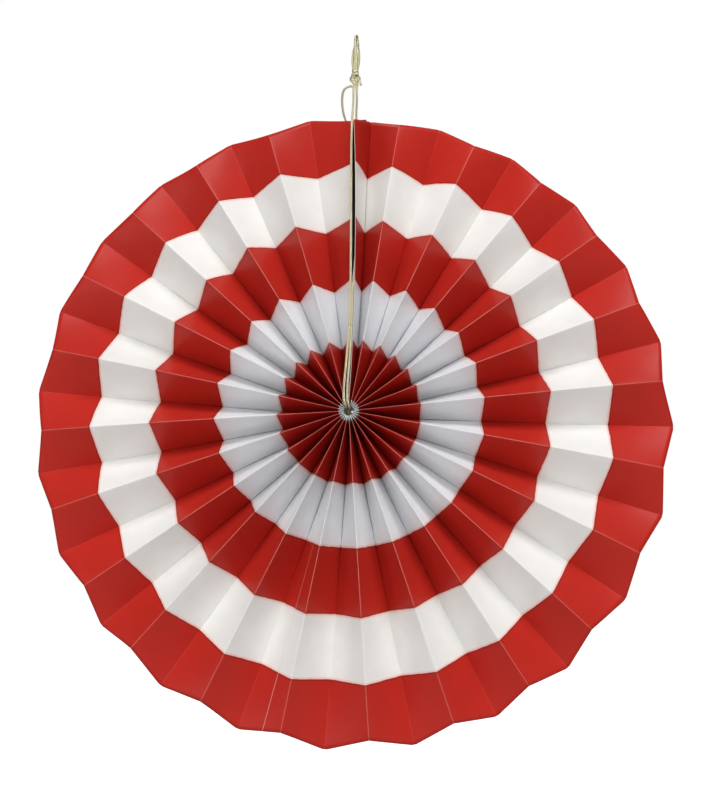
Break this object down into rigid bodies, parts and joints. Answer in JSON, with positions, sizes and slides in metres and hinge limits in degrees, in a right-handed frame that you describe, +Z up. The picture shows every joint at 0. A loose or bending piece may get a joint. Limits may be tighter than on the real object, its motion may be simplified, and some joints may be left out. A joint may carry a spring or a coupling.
{
  "type": "paper fan rosette",
  "caption": "Round hanging paper decoration: a pleated paper strip closed into a disc with concentric colour bands, on a knotted cord loop.",
  "frame": {"origin": "centre of the hub eye, halfway between the front and back folds", "axes": "+Z up towards the hanging loop, -Y out of the front folds, +X to the right seen from the front"},
  "size_m": [0.2989, 0.0294, 0.334],
  "materials": {
    "paper": "coated paper, printed in red and white bands",
    "glue": "dried paper glue",
    "cord": "twisted metallic thread"
  },
  "bodies": {
    "root": {"fan_sheet": "paper", "seam_glue": "glue", "cord_left": "cord", "cord_right": "cord", "loop_front": "cord", "loop_back": "cord", "long_tail": "cord", "loop_knot": "cord", "stopper_knot": "cord"}
  },
  "joints": []
}
